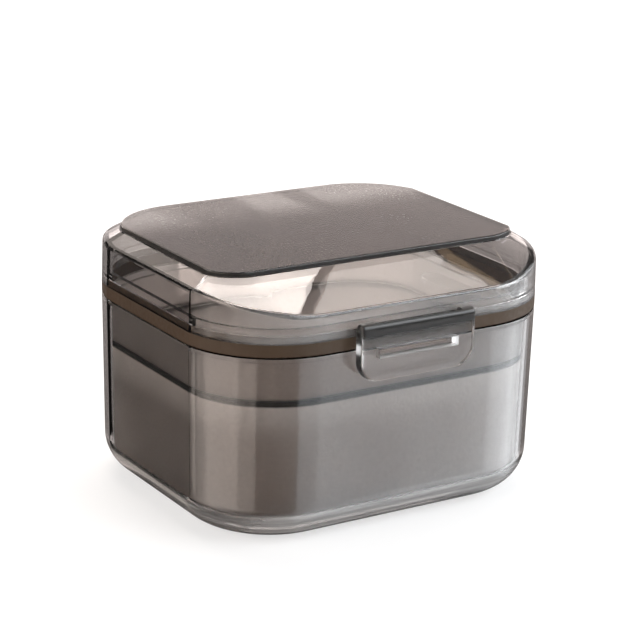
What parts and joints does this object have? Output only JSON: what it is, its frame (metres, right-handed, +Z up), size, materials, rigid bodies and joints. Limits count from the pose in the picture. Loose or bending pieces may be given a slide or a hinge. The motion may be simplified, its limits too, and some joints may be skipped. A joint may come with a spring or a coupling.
{
  "type": "orthodontic organizer case",
  "caption": "Clear rounded case with a hinged lid, a front latch, a soft seal, a frosted inner tub and a lift-out strainer basket for orthodontic appliances.",
  "frame": {"origin": "middle of the flat underside of the base", "axes": "+X to the right seen from the front, along the long side; +Y to the hinge at the back; +Z up to the lid"},
  "size_m": [0.096, 0.0921, 0.0641],
  "materials": {
    "shell_clear": "clear, slightly smoked, polished",
    "tub_frosted": "frosted, fine grain, warm grey",
    "basket_frosted": "frosted, warm grey",
    "seal_silicone": "matte brown silicone",
    "lid_clear": "clear, slightly smoked, polished, with a frosted raised top",
    "latch_clear": "clear, polished",
    "pin_steel": "drawn stainless wire"
  },
  "bodies": {
    "shell": {"outer_shell": "shell_clear", "inner_tub": "tub_frosted", "hinge_pin": "pin_steel"},
    "lid": {"lid_shell": "lid_clear", "seal_ring": "seal_silicone", "latch_pin": "pin_steel"},
    "latch_tab": {"latch": "latch_clear"},
    "basket": {"strainer_basket": "basket_frosted"}
  },
  "joints": [
    {"name": "lid_hinge", "type": "hinge", "parent": "shell", "child": "lid", "pos_m": [0, 0.0445, 0.0483], "axis": [-1, 0, 0], "range_deg": [0, 110]},
    {"name": "latch_pivot", "type": "hinge", "parent": "lid", "child": "latch_tab", "pos_m": [0, -0.0434, 0.0519], "axis": [-1, 0, 0], "range_deg": [0, 95]},
    {"name": "basket_lift", "type": "slide", "parent": "shell", "child": "basket", "axis": [0, 0, 1], "range_m": [0, 0.0405]}
  ],
  "couplings": [
    {"joint": "basket_lift", "follows": "lid_hinge", "m_per_rad": 0.021}
  ]
}
